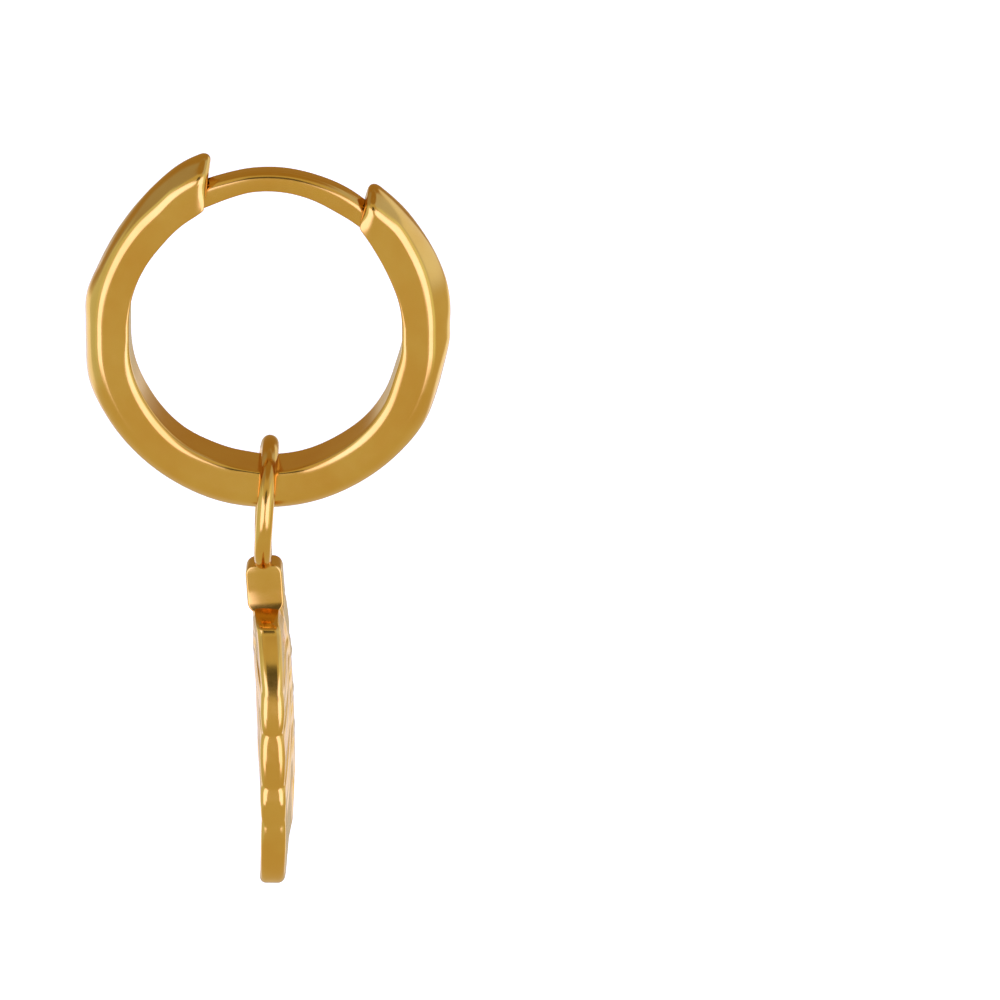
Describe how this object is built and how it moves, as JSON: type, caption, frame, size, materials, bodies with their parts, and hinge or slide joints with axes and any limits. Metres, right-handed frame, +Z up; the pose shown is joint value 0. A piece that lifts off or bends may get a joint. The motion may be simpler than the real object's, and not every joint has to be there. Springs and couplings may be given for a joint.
{
  "type": "hoop charm earring",
  "caption": "Hinged hoop earring with a snap-in ear post and a lobed leaf charm hanging edge-on from a fixed ring around the band.",
  "frame": {"origin": "middle of the ear post, where the ear lobe sits", "axes": "+X to the right of the front view, +Y away from the viewer through the hoop, +Z up from the charm to the post"},
  "size_m": [0.013, 0.0072, 0.0277],
  "materials": {
    "hoop_body": "polished",
    "ear_post": "polished",
    "hinge_pin": "polished",
    "charm": "polished"
  },
  "bodies": {
    "hoop": {"hoop_body": "hoop_body", "hinge_pin": "hinge_pin"},
    "post": {"ear_post": "ear_post"},
    "drop": {"charm": "charm"}
  },
  "joints": [
    {"name": "post_hinge", "type": "hinge", "parent": "hoop", "child": "post", "pos_m": [0.00401, 0, -0.00157], "axis": [0, -1, 0], "range_deg": [0, 75]},
    {"name": "charm_swing", "type": "hinge", "parent": "hoop", "child": "drop", "pos_m": [0, 0, -0.01241], "axis": [1, 0, 0], "range_deg": [-70, 70]}
  ]
}
